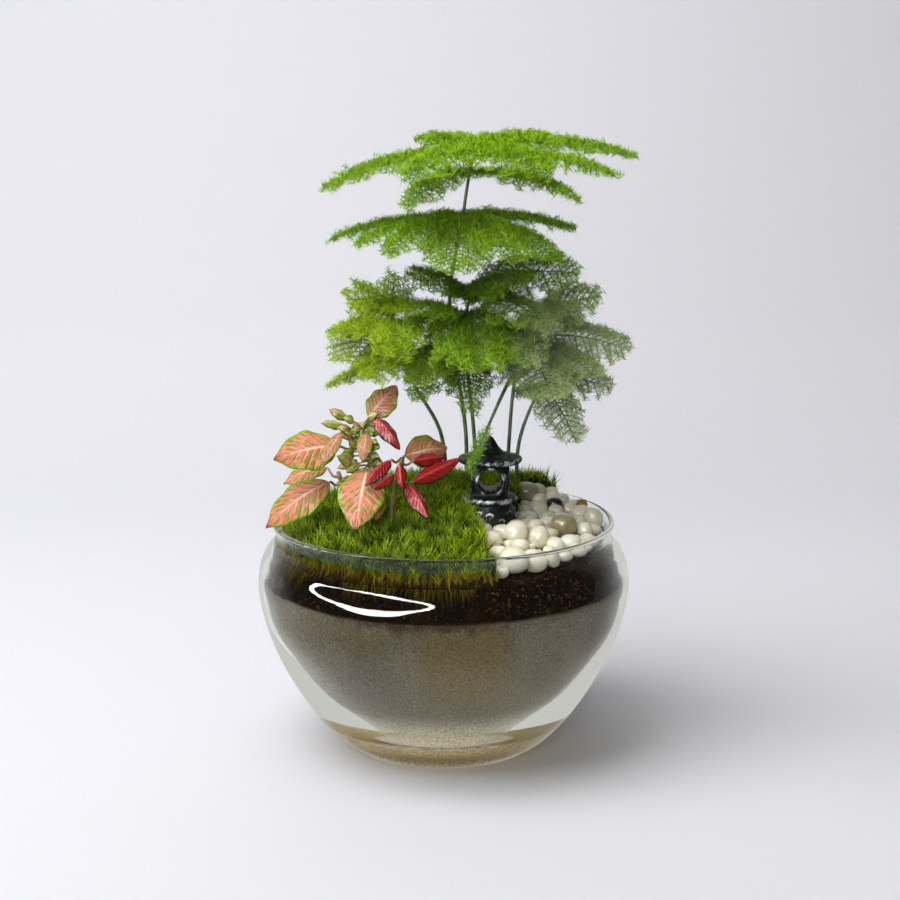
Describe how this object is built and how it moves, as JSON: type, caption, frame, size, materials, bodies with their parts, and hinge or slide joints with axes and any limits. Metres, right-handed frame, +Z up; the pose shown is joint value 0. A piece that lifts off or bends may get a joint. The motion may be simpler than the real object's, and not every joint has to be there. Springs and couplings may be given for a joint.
{
  "type": "glass plant terrarium",
  "caption": "Round glass bowl layered with sand and dark soil, planted with a feathery fern, a pink-leaved plant and moss, with white pebbles and a small garden lantern.",
  "frame": {"origin": "centre of the bowl's flat underside", "axes": "+Z up; the pictured front faces -Y, with the pink-leaved plant towards -X and the pebbles towards +X"},
  "size_m": [0.1525, 0.15, 0.2448],
  "materials": {
    "clear_glass": "clear blown glass, glossy, with a fire-polished lip",
    "sand": "fine grey-brown sand, matt, with lighter and darker grains",
    "potting_soil": "dark crumbly peat with reddish bark granules",
    "moss": "dense cushion moss, bright yellow-green at its tips and dark beneath",
    "white_stone": "rounded white river pebbles with a soft polish",
    "beige_stone": "translucent beige pebble",
    "black_stone": "polished black pebble",
    "slate_stone": "dark grey pebble",
    "olive_stone": "olive-brown pebble",
    "amber_stone": "orange-brown pebble",
    "cast_resin": "cast resin painted near-black, with silver brushed over its raised edges",
    "fern_foliage": "fine bright green needles on wiry dark green stems",
    "nerve_stem": "soft green stems with a pink tint",
    "pink_leaf": "satin pink leaf with a pale vein net, green blotches and a green edge",
    "red_leaf": "glossy crimson leaf with a dark edge, folded along its rib"
  },
  "bodies": {
    "root": {"glass_bowl": "clear_glass", "sand_layer": "sand", "soil_layer": "potting_soil", "moss_front": "moss", "moss_back": "moss", "pebbles_white": "white_stone", "pebble_beige": "beige_stone", "pebble_black": "black_stone", "pebble_slate": "slate_stone", "pebble_olive": "olive_stone", "pebble_sand": "olive_stone", "pebble_amber": "amber_stone", "lantern": "cast_resin", "fern_tall": "fern_foliage", "fern_left": "fern_foliage", "fern_centre": "fern_foliage", "fern_right": "fern_foliage", "fern_low": "fern_foliage", "fern_hanging": "fern_foliage", "nerve_stem_main": "nerve_stem", "nerve_stem_right": "nerve_stem", "nerve_stem_left": "nerve_stem", "nerve_leaf_left_upper": "pink_leaf", "nerve_leaf_left_lower": "pink_leaf", "nerve_leaf_front": "pink_leaf", "nerve_leaf_top": "pink_leaf", "nerve_leaf_middle": "pink_leaf", "nerve_leaf_small": "pink_leaf", "nerve_leaf_right": "pink_leaf", "nerve_leaf_behind": "pink_leaf", "nerve_leaf_under": "pink_leaf", "nerve_leaf_bud_left": "pink_leaf", "nerve_leaf_bud_top": "pink_leaf", "nerve_leaf_red_arch": "red_leaf", "nerve_leaf_red_low": "red_leaf", "nerve_leaf_red_right": "red_leaf", "nerve_leaf_red_front": "red_leaf", "nerve_leaf_red_hanging": "red_leaf", "nerve_leaf_red_curved": "red_leaf", "nerve_leaf_red_small": "red_leaf"}
  },
  "joints": []
}
